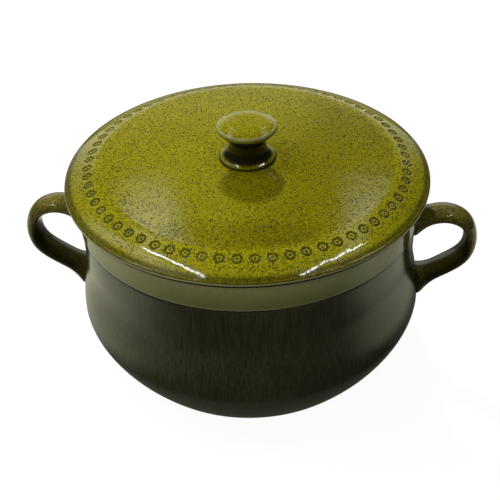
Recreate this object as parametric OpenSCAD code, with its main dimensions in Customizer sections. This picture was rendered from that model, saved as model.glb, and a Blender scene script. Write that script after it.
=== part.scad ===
// Covered casserole dish: a round stoneware pot with two strap handles, and a
// lift-off lid with a turned knob. Millimetres, +Z up. The origin is the centre
// of the foot, so z = 0 is the surface that the dish stands on. The handles
// lie along X.

/* [Pot] */
// Outer radius of the belly at its widest
belly_r = 117; // [105:0.5:130]
// Height of the widest ring of the belly
belly_z = 40; // [30:0.5:48]
// Radius at which the body leaves the table
foot_r = 96; // [84:0.5:100]
// Width of the flat foot ring
foot_w = 8; // [5:0.5:14]
// Depth of the hollow under the base
foot_recess = 3; // [1:0.25:5]
// Outer radius of the straight waist under the groove
waist_r = 111; // [104:0.5:115]
// Height at which the belly runs into the waist
waist_z = 83; // [70:0.5:92]
// Thickness of the side wall
wall = 6.5; // [5:0.25:9]
// Thickness of the floor
floor_t = 6; // [4:0.25:9]
// Radius of the flat middle of the floor, inside
floor_r = 90; // [74:0.5:94]

/* [Rim band] */
// Height of the incised groove under the rim band
groove_z = 108; // [95:0.5:125]
// Depth of the groove
groove_depth = 0.8; // [0.4:0.1:1.5]
// Width of the groove
groove_w = 1.6; // [1:0.1:3]
// Height of the rim band above the groove
band_h = 22; // [18:0.5:30]
// Thickness of the rim band
band_t = 7; // [5.5:0.25:9]
// How far the band stands out past the body under the groove
band_proud = 1; // [0:0.1:2]
// Rounding of the rim's two edges
rim_round = 2; // [1:0.1:2.5]

/* [Handles] */
// Height of a handle between the middles of its two roots
handle_h = 50; // [42:0.5:58]
// How far a handle's middle line stands out from the belly
handle_reach = 33.5; // [28:0.5:42]
// Distance of the upper root below the groove
handle_drop = 10; // [8:0.5:16]
// Width of the strap
strap_w = 21; // [16:0.5:26]
// Thickness of the strap
strap_t = 9; // [7:0.25:11]
// Width of the strap where it is worked on to the wall
root_w = 31.5; // [27:0.5:36]
// Distance from the wall over which the strap widens
root_len = 13; // [8:0.5:18]

/* [Lid] */
// How far the lid's edge stands out past the rim band
lid_overhang = 6; // [3:0.5:8]
// Height of the lid's top above the rim, at its middle
lid_h = 12.5; // [10:0.5:16]
// Rise of the middle field of the lid, from its edge to its centre
dome_rise = 0.9; // [0.4:0.1:3]
// Width of the convex roll around the middle field
roll_w = 21; // [18:0.5:24]
// Fall of the roll, from the middle field to the edge
roll_drop = 8.2; // [6:0.1:9]
// Thickness of the lid
lid_t = 6; // [5:0.25:6.5]
// Rounding of the lid's edge
lip_round = 2; // [1.5:0.1:2.5]
// Gap between the overhang and the level of the rim
lip_gap = 0.3; // [0.3:0.05:1]
// Gap all round between the locating flange and the mouth
flange_gap = 1.5; // [0.8:0.1:3]
// Thickness of the locating flange
flange_t = 5; // [4:0.25:7]
// Depth of the locating flange below the rim
flange_depth = 9.5; // [6:0.5:14]

/* [Stamped ring] */
// Number of stamps in the ring
stamp_count = 65; // [40:1:70]
// Distance of the stamps' centres from the lid's edge
stamp_inset = 15; // [13:0.5:16]
// Outer diameter of a stamp
stamp_d = 6.6; // [5:0.1:7.5]
// Width of the stamp's ring
stamp_line = 1.4; // [0.8:0.1:1.8]
// Depth of the stamps
stamp_depth = 0.6; // [0.3:0.05:0.9]

/* [Knob] */
// Radius of the knob's base
knob_base_r = 17.8; // [15:0.1:22]
// Thickness of the knob's base at its edge
knob_base_t = 2.2; // [1.5:0.1:4]
// Radius of the knob's neck
knob_neck_r = 12.2; // [9:0.1:13]
// Radius of the knob's top disc
knob_r = 19.4; // [16:0.1:24]
// Thickness of the top disc at its edge
knob_edge_t = 3.6; // [2.5:0.1:5]
// Height of the whole knob
knob_h = 25.5; // [22:0.5:34]
// Rise of the top disc to its centre
knob_rise = 1.8; // [0.5:0.1:3]

/* [Hidden] */
$fn = 96;

body_colour = [0.24, 0.26, 0.16];
handle_colour = [0.27, 0.26, 0.09];
lid_colour = [0.55, 0.52, 0.10];
knob_colour = [0.53, 0.52, 0.14];

// Heights and radii that several pieces share
rim_z = groove_z + band_h;
band_r = waist_r + band_proud;
mouth_r = band_r - band_t;
floor_z = foot_recess + floor_t;
lid_r = band_r + lid_overhang;
field_r = lid_r - roll_w;
lid_top_z = rim_z + lid_h;
field_z = lid_top_z - dome_rise;
flange_r = mouth_r - flange_gap;
stamp_r = lid_r - stamp_inset;

// Powers of the curves: the belly's fall to its foot, the roll's fall to its
// edge, and how early the knob's neck widens on either side
belly_power = 1.5;
roll_power = 1.35;
neck_lower_power = 0.5;
neck_upper_power = 1.6;

// Height of the knob's narrowest place, as a share of its hollow
neck_share = 0.4;

// Steps along the curves of the outlines
lower_steps = 12;
upper_steps = 10;
dome_steps = 3;
roll_steps = 8;
round_steps = 6;
fillet_steps = 5;
neck_steps = 8;
cap_steps = 4;

// Crowding of the belly's steps towards its foot
step_power = 1.6;

// Overlap by which a cutting form passes the surface that it cuts
cut_past = 1;

// Half a wave from one value to another
function wave(from, to, share) = from + (to - from) * (1 - cos(180 * share)) / 2;

// Radius at height z of a belly that stands on radius r_foot at height z_foot,
// swells to r_max at belly_z and runs into a straight waist of radius r_waist
function belly(z, z_foot, r_foot, r_max, r_waist) =
    z < belly_z
        ? r_max - (r_max - r_foot) * pow((belly_z - z) / (belly_z - z_foot), belly_power)
        : wave(r_max, r_waist, min(1, (z - belly_z) / (waist_z - belly_z)));

// Points of a belly's profile, from the foot up to height z_top
function belly_points(z_foot, r_foot, r_max, r_waist, z_top) = concat(
    [for (i = [0 : lower_steps - 1])
        let (z = z_foot + (belly_z - z_foot) * pow(i / lower_steps, step_power))
        [belly(z, z_foot, r_foot, r_max, r_waist), z]],
    [for (i = [0 : upper_steps])
        let (z = belly_z + (waist_z - belly_z) * i / upper_steps)
        [belly(z, z_foot, r_foot, r_max, r_waist), z]],
    [[r_waist, z_top]]);

// Points on an arc about [x, z] from one angle to another
function arc(x, z, r, from, to, steps) =
    [for (i = [0 : steps])
        let (a = from + (to - from) * i / steps)
        [x + r * cos(a), z + r * sin(a)]];

function reversed(list) = [for (i = [len(list) - 1 : -1 : 0]) list[i]];

// Height of the lid's upper surface at radius r
function lid_surface(r) =
    r < field_r
        ? lid_top_z - dome_rise * pow(r / field_r, 2)
        : field_z - roll_drop * pow((r - field_r) / roll_w, roll_power);

// ---- Pot ----------------------------------------------------------------

// Radius of the pot's outside at height z, under the groove
function outer_r(z) = belly(z, 0, foot_r, belly_r, waist_r);

// Outline of the pot's outside, from the edge of the foot to the groove's foot
outer_points = belly_points(0, foot_r, belly_r, waist_r, groove_z - groove_w / 2);

// Outline of the rim band, from the bottom of the groove to the flat of the rim
band_points = concat(
    [[waist_r - groove_depth, groove_z]],
    [[band_r, groove_z + groove_w / 2]],
    arc(band_r - rim_round, rim_z - rim_round, rim_round, 0, 90, round_steps));

// Outline of the inside, from the rim down to the middle of the floor
inner_points = concat(
    arc(mouth_r + rim_round, rim_z - rim_round, rim_round, 90, 180, round_steps),
    reversed(belly_points(floor_z, floor_r, belly_r - wall, mouth_r, groove_z)),
    [[0, floor_z]]);

// Outline of the hollow under the base, from its middle to the foot ring
base_points = [
    [0, foot_recess],
    [foot_r - foot_w - foot_recess, foot_recess],
    [foot_r - foot_w, 0]];

module pot_body() {
    color(body_colour)
        rotate_extrude()
            polygon(concat(base_points, outer_points, band_points, inner_points));
}

// The pot's outside as a full solid, which the handles are fitted to
module pot_outside() {
    rotate_extrude()
        polygon(concat([[0, 0]], outer_points, band_points, [[0, rim_z]]));
}

// ---- Handles ------------------------------------------------------------

// The loop's middle line, as shares of its reach outwards and of its height
// downwards, starting inside the wall at the upper root and ending inside the
// wall at the lower root
LOOP = [
    [-0.73, 0.16],
    [-0.27, 0.07],
    [0.05, -0.03],
    [0.42, -0.11],
    [0.79, -0.02],
    [0.95, 0.13],
    [1.00, 0.35],
    [0.91, 0.60],
    [0.52, 0.79],
    [0.14, 0.96],
    [-0.24, 1.13],
    [-0.67, 1.31]];
loop_steps = 6;
strap_sides = 24;
upper_root_z = groove_z - handle_drop;

function loop_point(i) = [
    belly_r + LOOP[i][0] * handle_reach,
    upper_root_z - LOOP[i][1] * handle_h];

// A uniform cubic B-spline through the neighbourhood of four points
function spline(a, b, c, d, t) =
    (a * pow(1 - t, 3)
    + b * (3 * pow(t, 3) - 6 * pow(t, 2) + 4)
    + c * (3 * pow(t, 2) - 3 * pow(t, 3) + 3 * t + 1)
    + d * pow(t, 3)) / 6;

strap_line = [for (i = [0 : len(LOOP) - 4], k = [0 : loop_steps - 1])
    spline(loop_point(i), loop_point(i + 1), loop_point(i + 2), loop_point(i + 3), k / loop_steps)];

// How much wider the strap is at a point [x, z] of its middle line
function flare(point) =
    let (from_wall = max(0, point[0] - outer_r(point[1])))
    1 + (root_w / strap_w - 1) * pow(max(0, 1 - from_wall / root_len), 2);

// Direction of the middle line at its point i
function strap_way(i) =
    let (
        step = strap_line[min(i + 1, len(strap_line) - 1)] - strap_line[max(i - 1, 0)])
    step / norm(step);

// One ring of points round the strap's middle line
function strap_ring(i) =
    let (
        p = strap_line[i],
        way = strap_way(i),
        wide = strap_w / 2 * flare(p),
        thick = strap_t / 2 * flare(p))
    [for (k = [0 : strap_sides - 1])
        let (
            a = 360 * k / strap_sides,
            across = thick * cos(a))
        [p[0] - way[1] * across, wide * sin(a), p[1] + way[0] * across]];

module strap() {
    rings = len(strap_line);
    points = [for (i = [0 : rings - 1]) each strap_ring(i)];
    sides = [for (i = [0 : rings - 2], k = [0 : strap_sides - 1])
        let (
            next = (k + 1) % strap_sides,
            here = i * strap_sides,
            there = here + strap_sides)
        each [
            [here + k, here + next, there + next],
            [here + k, there + next, there + k]]];
    first_cap = [for (k = [strap_sides - 1 : -1 : 0]) k];
    last_cap = [for (k = [0 : strap_sides - 1]) (rings - 1) * strap_sides + k];
    polyhedron(points = points, faces = concat(sides, [first_cap], [last_cap]), convexity = 6);
}

// A handle on the +X side, cut to the curve of the wall
module handle() {
    difference() {
        strap();
        pot_outside();
    }
}

module left_handle() {
    color(handle_colour)
        mirror([1, 0, 0])
            handle();
}

module right_handle() {
    color(handle_colour)
        handle();
}

// ---- Lid ----------------------------------------------------------------

lip_x = lid_r - lip_round;
lip_z = rim_z + lip_gap + lip_round;
seat_r = band_r - rim_round;
under_z = lid_top_z - lid_t;
flange_bottom_z = rim_z - flange_depth;
flange_round = flange_t / 2;
flange_middle_r = flange_r - flange_round;
flange_inner_r = flange_r - flange_t;
cove = 3;
edge_angle = 45;

// Outline of the lid's upper side, from its centre to the edge's rounding
lid_top_points = concat(
    [[0, lid_top_z]],
    [for (i = [1 : dome_steps])
        let (r = field_r * i / dome_steps)
        [r, lid_surface(r)]],
    [for (i = [1 : roll_steps])
        let (r = field_r + (lip_x + lip_round / 2 - field_r) * i / roll_steps)
        [r, lid_surface(r)]]);

// Outline of the lid's underside, from the edge's rounding back to the centre
lid_under_points = concat(
    arc(lip_x, lip_z, lip_round, edge_angle, -90, round_steps),
    [[band_r + lip_gap, rim_z + lip_gap]],
    [[seat_r + lip_gap, rim_z]],
    [[flange_r, rim_z]],
    arc(flange_middle_r, flange_bottom_z + flange_round, flange_round, 0, -180, round_steps),
    arc(flange_inner_r - cove, under_z - cove, cove, 0, 90, fillet_steps),
    [[0, under_z]]);

// One stamp: a shallow ring pressed square into the surface of the roll
stamp_sides = 32;

module stamp() {
    slope = atan2(
        lid_surface(stamp_r - stamp_d / 2) - lid_surface(stamp_r + stamp_d / 2),
        stamp_d);
    translate([stamp_r, 0, lid_surface(stamp_r)])
        rotate([0, slope, 0])
            translate([0, 0, -stamp_depth])
                difference() {
                    cylinder(d = stamp_d, h = stamp_depth + cut_past, $fn = stamp_sides);
                    translate([0, 0, -cut_past])
                        cylinder(
                            d = stamp_d - 2 * stamp_line,
                            h = stamp_depth + 3 * cut_past,
                            $fn = stamp_sides);
                }
}

module lid() {
    color(lid_colour)
        difference() {
            rotate_extrude()
                polygon(concat(lid_top_points, lid_under_points));
            for (i = [0 : stamp_count - 1])
                rotate([0, 0, 360 * i / stamp_count])
                    stamp();
        }
}

// ---- Knob ---------------------------------------------------------------

knob_z = lid_surface(0);
disc_z = knob_h - knob_rise - knob_edge_t;
neck_z = knob_base_t + (disc_z - knob_base_t) * neck_share;
base_round = knob_base_t / 2;
edge_round = knob_edge_t / 2;
base_middle_r = knob_base_r - base_round;
cap_r = knob_r - edge_round;

// How far round the edges of the base and of the disc their roundings run
base_end_angle = 60;
disc_start_angle = -60;
disc_end_angle = 70;

// Outline of the hollow between the base and the top disc: two half waves that
// meet at the narrowest place
neck_points = concat(
    [for (i = [0 : neck_steps])
        let (share = i / neck_steps)
        [wave(base_middle_r, knob_neck_r, pow(share, neck_lower_power)),
            knob_base_t + (neck_z - knob_base_t) * share]],
    [for (i = [1 : neck_steps])
        let (share = i / neck_steps)
        [wave(knob_neck_r, cap_r, pow(share, neck_upper_power)),
            neck_z + (disc_z - neck_z) * share]]);

knob_points = concat(
    [[0, 0]],
    arc(base_middle_r, base_round, base_round, -90, base_end_angle, round_steps),
    neck_points,
    arc(cap_r, disc_z + edge_round, edge_round, disc_start_angle, disc_end_angle, round_steps),
    [for (i = [cap_steps - 1 : -1 : 0])
        let (r = cap_r * i / cap_steps)
        [r, knob_h - knob_rise * pow(r / cap_r, 2)]]);

module lid_knob() {
    color(knob_colour)
        translate([0, 0, knob_z])
            rotate_extrude()
                polygon(knob_points);
}

pot_body();
left_handle();
right_handle();
lid();
lid_knob();
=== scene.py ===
import math

import bmesh
import bpy
from bpy.props import FloatProperty, FloatVectorProperty, IntProperty, PointerProperty
from mathutils import Matrix, Vector


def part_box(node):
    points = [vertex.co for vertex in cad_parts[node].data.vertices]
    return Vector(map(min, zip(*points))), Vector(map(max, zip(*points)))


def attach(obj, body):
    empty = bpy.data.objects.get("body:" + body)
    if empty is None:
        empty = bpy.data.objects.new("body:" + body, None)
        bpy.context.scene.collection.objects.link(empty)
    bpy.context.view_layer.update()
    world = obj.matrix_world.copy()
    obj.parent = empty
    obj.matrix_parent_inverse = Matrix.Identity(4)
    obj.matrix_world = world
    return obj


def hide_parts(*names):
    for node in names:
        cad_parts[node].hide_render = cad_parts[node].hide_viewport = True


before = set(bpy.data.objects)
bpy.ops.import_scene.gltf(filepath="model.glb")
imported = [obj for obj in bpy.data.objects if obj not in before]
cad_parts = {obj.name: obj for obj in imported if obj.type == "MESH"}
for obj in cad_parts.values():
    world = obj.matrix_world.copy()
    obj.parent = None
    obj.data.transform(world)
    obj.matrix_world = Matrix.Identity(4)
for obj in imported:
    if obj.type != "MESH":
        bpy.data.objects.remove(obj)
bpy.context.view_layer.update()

bl_info = {
    "name": "Covered Casserole Dish",
    "version": (1, 0, 0),
    "blender": (4, 5, 0),
    "location": "3D View > Sidebar > Casserole",
    "description": "Dresses a stoneware casserole dish in turned forms, pulled handles and speckled glaze",
    "category": "Add Mesh",
}

POT_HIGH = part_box("pot_body")[1]
LID_LOW, LID_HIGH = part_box("lid")
KNOB_LOW, KNOB_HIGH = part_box("lid_knob")


# ---- Sizes and colours that a user would change ----------------------------

def length(name, description, default):
    """A distance in metres, shown in the scene's units."""
    return FloatProperty(name=name, description=description, default=default, min=0.0,
                         subtype='DISTANCE', unit='LENGTH', precision=5)


def number(name, description, default):
    """A plain share or factor."""
    return FloatProperty(name=name, description=description, default=default)


def count(name, description, default):
    """A whole number of copies or steps."""
    return IntProperty(name=name, description=description, default=default, min=1)


def colour(name, description, default):
    """A linear colour."""
    return FloatVectorProperty(name=name, description=description, default=default,
                               subtype='COLOR', size=3, min=0.0, max=1.0)


class PotSizes(bpy.types.PropertyGroup):
    """The turned pot."""
    belly_radius: length("Belly Radius", "Outer radius of the belly at its widest", POT_HIGH.x)
    belly_height: length("Belly Height", "Height of the widest ring of the belly", 0.040)
    foot_radius: length("Foot Radius", "Radius at which the body leaves the table", 0.096)
    foot_width: length("Foot Width", "Width of the flat foot ring", 0.008)
    foot_recess: length("Foot Recess", "Depth of the hollow under the base", 0.003)
    waist_radius: length("Waist Radius", "Outer radius of the straight waist under the groove", 0.111)
    waist_height: length("Waist Height", "Height at which the belly runs into the waist", 0.083)
    wall: length("Wall", "Thickness of the side wall", 0.0065)
    floor: length("Floor", "Thickness of the floor", 0.006)
    floor_radius: length("Floor Radius", "Radius of the flat middle of the floor", 0.090)
    groove_height: length("Groove Height", "Height of the groove under the rim band", 0.108)
    groove_depth: length("Groove Depth", "Depth of the groove", 0.0008)
    groove_width: length("Groove Width", "Width of the groove", 0.0016)
    band_radius: length("Band Radius", "Outer radius of the rim band", 0.112)
    band_thickness: length("Band Thickness", "Thickness of the rim band", 0.007)
    rim_rounding: length("Rim Rounding", "Rounding of the rim's two edges", 0.002)
    segments: count("Segments", "Facets round the pot", 256)


class HandleSizes(bpy.types.PropertyGroup):
    """The two pulled straps."""
    height: length("Height", "Height between the middles of the two roots", 0.050)
    reach: length("Reach", "How far the strap's middle stands out from the belly", 0.03349)
    drop: length("Drop", "Distance of the upper root below the groove", 0.010)
    width: length("Strap Width", "Width of the strap", 0.021)
    thickness: length("Strap Thickness", "Thickness of the strap", 0.009)
    root_width: length("Root Width", "Width of the strap where it meets the wall", 0.0315)
    root_length: length("Root Length", "Distance from the wall over which the strap widens", 0.013)
    sides: count("Sides", "Facets round the strap", 48)


class LidSizes(bpy.types.PropertyGroup):
    """The lid and its locating flange."""
    radius: length("Radius", "Outer radius of the lid", LID_HIGH.x)
    top: length("Top", "Height of the middle of the lid", LID_HIGH.z)
    dome_rise: length("Dome Rise", "Rise of the middle field to its centre", 0.0009)
    roll_width: length("Roll Width", "Width of the roll around the middle field", 0.021)
    roll_drop: length("Roll Drop", "Fall of the roll from the field to the edge", 0.0082)
    thickness: length("Thickness", "Thickness of the lid", 0.006)
    lip_rounding: length("Lip Rounding", "Rounding of the lid's edge", 0.002)
    lip_gap: length("Lip Gap", "Gap between the overhang and the level of the rim", 0.0003)
    flange_gap: length("Flange Gap", "Gap between the flange and the mouth", 0.0015)
    flange_thickness: length("Flange Thickness", "Thickness of the flange", 0.005)
    flange_bottom: length("Flange Bottom", "Height of the flange's lower edge", LID_LOW.z)


class StampSizes(bpy.types.PropertyGroup):
    """The ring of small stamped rosettes."""
    stamps: count("Stamps", "Number of stamps in the ring", 65)
    inset: length("Inset", "Distance of the stamps' centres from the lid's edge", 0.015)
    radius: length("Stamp Radius", "Outer radius of one stamp", 0.0034)
    depth: length("Depth", "Depth of the stamps", 0.0007)
    petals: count("Petals", "Notches round each stamp", 9)
    unevenness: length("Unevenness", "How far a stamp strays from its place", 0.00022)
    seed: count("Seed", "Draw of the strays", 7)


class KnobSizes(bpy.types.PropertyGroup):
    """The turned knob."""
    base_radius: length("Base Radius", "Radius of the base", 0.0178)
    base_thickness: length("Base Thickness", "Thickness of the base at its edge", 0.0022)
    neck_radius: length("Neck Radius", "Radius of the neck", 0.0122)
    radius: length("Radius", "Radius of the top disc", KNOB_HIGH.x)
    edge_thickness: length("Edge Thickness", "Thickness of the disc's edge", 0.0036)
    bottom: length("Bottom", "Height of the knob's foot", KNOB_LOW.z)
    top: length("Top", "Height of the knob's top", KNOB_HIGH.z)
    rise: length("Rise", "Rise of the disc to its centre", 0.0018)
    segments: count("Segments", "Facets round the knob", 128)


class GlazeColours(bpy.types.PropertyGroup):
    """Colours of the glazes and of the bare clay."""
    lid: colour("Lid", "Olive glaze of the lid", (0.325, 0.300, 0.006))
    lid_deep: colour("Lid Deep", "Thinner glaze in the lid's clouds", (0.235, 0.215, 0.004))
    # Multiplied over one side of the lid's field as painted shade
    lid_shade: colour("Lid Shade", "Tint of the deeper side of the lid's field", (0.72, 0.71, 0.40))
    pot: colour("Pot", "Grey-olive glaze of the pot", (0.078, 0.087, 0.031))
    pot_deep: colour("Pot Deep", "Darker streaks down the pot", (0.040, 0.041, 0.014))
    handle: colour("Handle", "Olive glaze of the handles", (0.19, 0.175, 0.024))
    handle_deep: colour("Handle Deep", "Browner glaze of the handles", (0.085, 0.066, 0.008))
    speck: colour("Speck", "Iron specks in the glaze", (0.030, 0.022, 0.003))
    # Laid both as glaze pooled in hollows and as painted shade: under the lid's lip, before it, round the
    # handle roots, in the handle loops and on the knob's neck
    pooled_and_shade: colour("Pooled", "Glaze pooled in hollows", (0.028, 0.024, 0.003))
    # The band's two colours are far paler than the pot's glaze: painted light, standing in for the light
    # and mirrored floor that the band shows under the lid's overhang, darker towards the bottom
    band: colour("Band", "Thin glaze at the top of the rim band", (0.50, 0.50, 0.20))
    band_lower_light: colour("Band Deep", "Thicker glaze at the bottom of the rim band", (0.26, 0.27, 0.072))
    # Also laid on the lid's lip, where it is partly a painted highlight
    edge: colour("Edge", "Glaze that breaks thin over an edge", (0.42, 0.41, 0.20))
    clay: colour("Clay", "Bare stoneware clay", (0.46, 0.36, 0.24))


class StageSettings(bpy.types.PropertyGroup):
    """The camera, the lamps and the floor."""
    camera_azimuth: number("Camera Azimuth", "Degrees round from the front", 3.13)
    camera_elevation: number("Camera Elevation", "Degrees above the horizon", 38.04)
    camera_roll: number("Camera Roll", "Degrees of roll", -0.31)
    camera_distance: length("Camera Distance", "Distance from the point aimed at", 0.6248)
    aim_height: length("Aim Height", "Height of the point aimed at", 0.06644)
    aim_right: length("Aim Right", "Sideways place of the point aimed at", 0.0223)
    strip_power: number("Strip Power", "Power of each strip softbox, in watts", 1.1)
    top_power: number("Top Power", "Power of the overhead lamp, in watts", 2.0)
    side_power: number("Side Power", "Power of the lamp to the left of the dish, in watts", 4.0)
    back_power: number("Back Power", "Power of the lamp behind the dish, in watts", 22.0)
    front_power: number("Front Power", "Power of the faint lamp before the dish, in watts", 3.1)
    floor_tone: number("Floor Tone", "How pale the floor is to the lamps", 0.12)


# ---- Drawing node trees ------------------------------------------------------

class Graph:
    """A node tree being drawn: each call adds a node and wires its inputs."""

    def __init__(self, tree):
        self.tree = tree

    def add(self, kind, inputs=None, **settings):
        """Adds a node, gives its settings and wires or sets its inputs."""
        node = self.tree.nodes.new(kind)
        for name, value in settings.items():
            setattr(node, name, value)
        for name, value in (inputs or {}).items():
            if isinstance(value, bpy.types.NodeSocket):
                self.tree.links.new(value, node.inputs[name])
            else:
                node.inputs[name].default_value = value
        return node

    def math(self, operation, *values):
        """A number worked out from one, two or three others."""
        return self.add("ShaderNodeMath", dict(enumerate(values)), operation=operation).outputs[0]

    def step(self, value, low, high):
        """0 below low, 1 above high, and smooth between them."""
        node = self.add("ShaderNodeMapRange", {"Value": value, "From Min": low, "From Max": high},
                        interpolation_type='SMOOTHSTEP')
        return node.outputs["Result"]

    def mark(self, value, pair, base=0.0):
        """0 where a mark begins and 1 where it is full, both measured from a base."""
        return self.step(value, base + pair[0], base + pair[1])

    def product(self, *values):
        """Several numbers multiplied together."""
        total = values[0]
        for value in values[1:]:
            total = self.math('MULTIPLY', total, value)
        return total

    def hypot(self, a, b):
        """How far a point lies from the middle, from its two coordinates."""
        return self.math('SQRT', self.math('ADD', self.product(a, a), self.product(b, b)))

    def parts(self, vector):
        """The X, Y and Z of a vector."""
        return self.add("ShaderNodeSeparateXYZ", {0: vector}).outputs

    def blend(self, share, first, second, kind='MIX'):
        """A colour between two others, or the first multiplied by a share of the second."""
        inputs = {"Factor": share, "A": first, "B": second}
        node = self.tree.nodes.new("ShaderNodeMix")
        node.data_type = 'RGBA'
        node.blend_type = kind
        for name, value in inputs.items():
            socket = next(s for s in node.inputs if s.name == name and s.enabled)
            if isinstance(value, bpy.types.NodeSocket):
                self.tree.links.new(value, socket)
            else:
                socket.default_value = value if name == "Factor" else (*value[:3], 1.0)
        return next(s for s in node.outputs if s.enabled)


def geometry_tree(name, **inputs):
    """A new geometry node tree with named inputs, its graph and its input sockets."""
    tree = bpy.data.node_groups.new(name, "GeometryNodeTree")
    tree.interface.new_socket("Geometry", in_out='INPUT', socket_type='NodeSocketGeometry')
    tree.interface.new_socket("Geometry", in_out='OUTPUT', socket_type='NodeSocketGeometry')
    for label, kind in inputs.items():
        tree.interface.new_socket(label.replace("_", " "), in_out='INPUT', socket_type=kind)
    graph = Graph(tree)
    sockets = {s.name: s for s in graph.add("NodeGroupInput").outputs if s.name}
    return tree, graph, sockets


def close_tree(graph, geometry, material):
    """Ends a geometry tree in plain mesh with its material."""
    real = graph.add("GeometryNodeRealizeInstances", {"Geometry": geometry}).outputs[0]
    made = graph.add("GeometryNodeSetMaterial", {"Geometry": real, "Material": material}).outputs[0]
    graph.add("NodeGroupOutput", {"Geometry": made})


def grown(piece, tree, **values):
    """Runs a geometry tree on a piece and keeps the plain mesh that comes out."""
    modifier = piece.modifiers.new(tree.name, 'NODES')
    modifier.node_group = tree
    identifiers = {item.name: item.identifier for item in tree.interface.items_tree
                   if item.in_out == 'INPUT'}
    for label, value in values.items():
        modifier[identifiers[label.replace("_", " ")]] = value
    depsgraph = bpy.context.evaluated_depsgraph_get()
    mesh = bpy.data.meshes.new_from_object(
        piece.evaluated_get(depsgraph), preserve_all_data_layers=True, depsgraph=depsgraph)
    piece.modifiers.remove(modifier)
    piece.data = mesh
    return piece


# Points nearer than this are one point, in metres
SEAM = 1e-6


def turned_tree():
    """Turns an outline, given as a row of points in the XZ plane, about the Z axis."""
    tree, g, given = geometry_tree(
        "Turned form", Segments='NodeSocketInt', Material='NodeSocketMaterial')
    outline = given["Geometry"]
    rows = g.add("GeometryNodeAttributeDomainSize", {"Geometry": outline}).outputs["Point Count"]
    columns = g.math('ADD', given["Segments"], 1)
    grid = g.add("GeometryNodeMeshGrid", {"Vertices X": columns, "Vertices Y": rows}).outputs["Mesh"]
    index = g.add("GeometryNodeInputIndex").outputs[0]
    column = g.math('FLOOR', g.math('DIVIDE', index, rows))
    row = g.math('SUBTRACT', index, g.product(column, rows))
    point = g.add("GeometryNodeSampleIndex", data_type='FLOAT_VECTOR')
    g.tree.links.new(outline, point.inputs["Geometry"])
    g.tree.links.new(g.add("GeometryNodeInputPosition").outputs[0], point.inputs["Value"])
    g.tree.links.new(row, point.inputs["Index"])
    place = g.parts(point.outputs[0])
    angle = g.product(column, g.math('DIVIDE', math.tau, given["Segments"]))
    turned = g.add("ShaderNodeCombineXYZ", {
        "X": g.product(place["X"], g.math('COSINE', angle)),
        "Y": g.product(place["X"], g.math('SINE', angle)),
        "Z": place["Z"]}).outputs[0]
    placed = g.add("GeometryNodeSetPosition", {"Geometry": grid, "Position": turned}).outputs[0]
    merged = g.add("GeometryNodeMergeByDistance", {"Geometry": placed, "Distance": SEAM}).outputs[0]
    close_tree(g, merged, given["Material"])
    return tree


def strap_tree():
    """Sweeps an oval strap along a path that carries its own girth."""
    tree, g, given = geometry_tree(
        "Pulled strap", Width='NodeSocketFloat', Thickness='NodeSocketFloat',
        Sides='NodeSocketInt', Material='NodeSocketMaterial')
    path = g.add("GeometryNodeMeshToCurve", {"Mesh": given["Geometry"]}).outputs[0]
    ring = g.add("GeometryNodeCurvePrimitiveCircle",
                 {"Resolution": given["Sides"], "Radius": 0.5}).outputs["Curve"]
    size = g.add("ShaderNodeCombineXYZ",
                 {"X": given["Width"], "Y": given["Thickness"], "Z": 1.0}).outputs[0]
    oval_ring = g.add("GeometryNodeTransform", {"Geometry": ring, "Scale": size}).outputs[0]
    girth = g.add("GeometryNodeInputNamedAttribute", {"Name": "girth"}, data_type='FLOAT')
    swept = g.add("GeometryNodeCurveToMesh", {
        "Curve": path, "Profile Curve": oval_ring,
        "Scale": girth.outputs["Attribute"], "Fill Caps": True}).outputs[0]
    close_tree(g, swept, given["Material"])
    return tree


# Depth of the punch from its centre to its rim: a pit, a raised ring, a groove
PUNCH = ((0.00, 0.95), (0.15, 0.85), (0.30, 0.18), (0.48, 0.12), (0.62, 0.80), (0.80, 1.00), (1.00, 0.0))
PETAL_SHARE = 0.07
# Surface that faces up at least this much takes a stamp
UPWARD = (0.55, 0.65)
# Depth of the stamps: their mean and their spread, as shares of the set depth
DEPTH_MEAN = 0.9
DEPTH_SPREAD = 0.25


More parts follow.
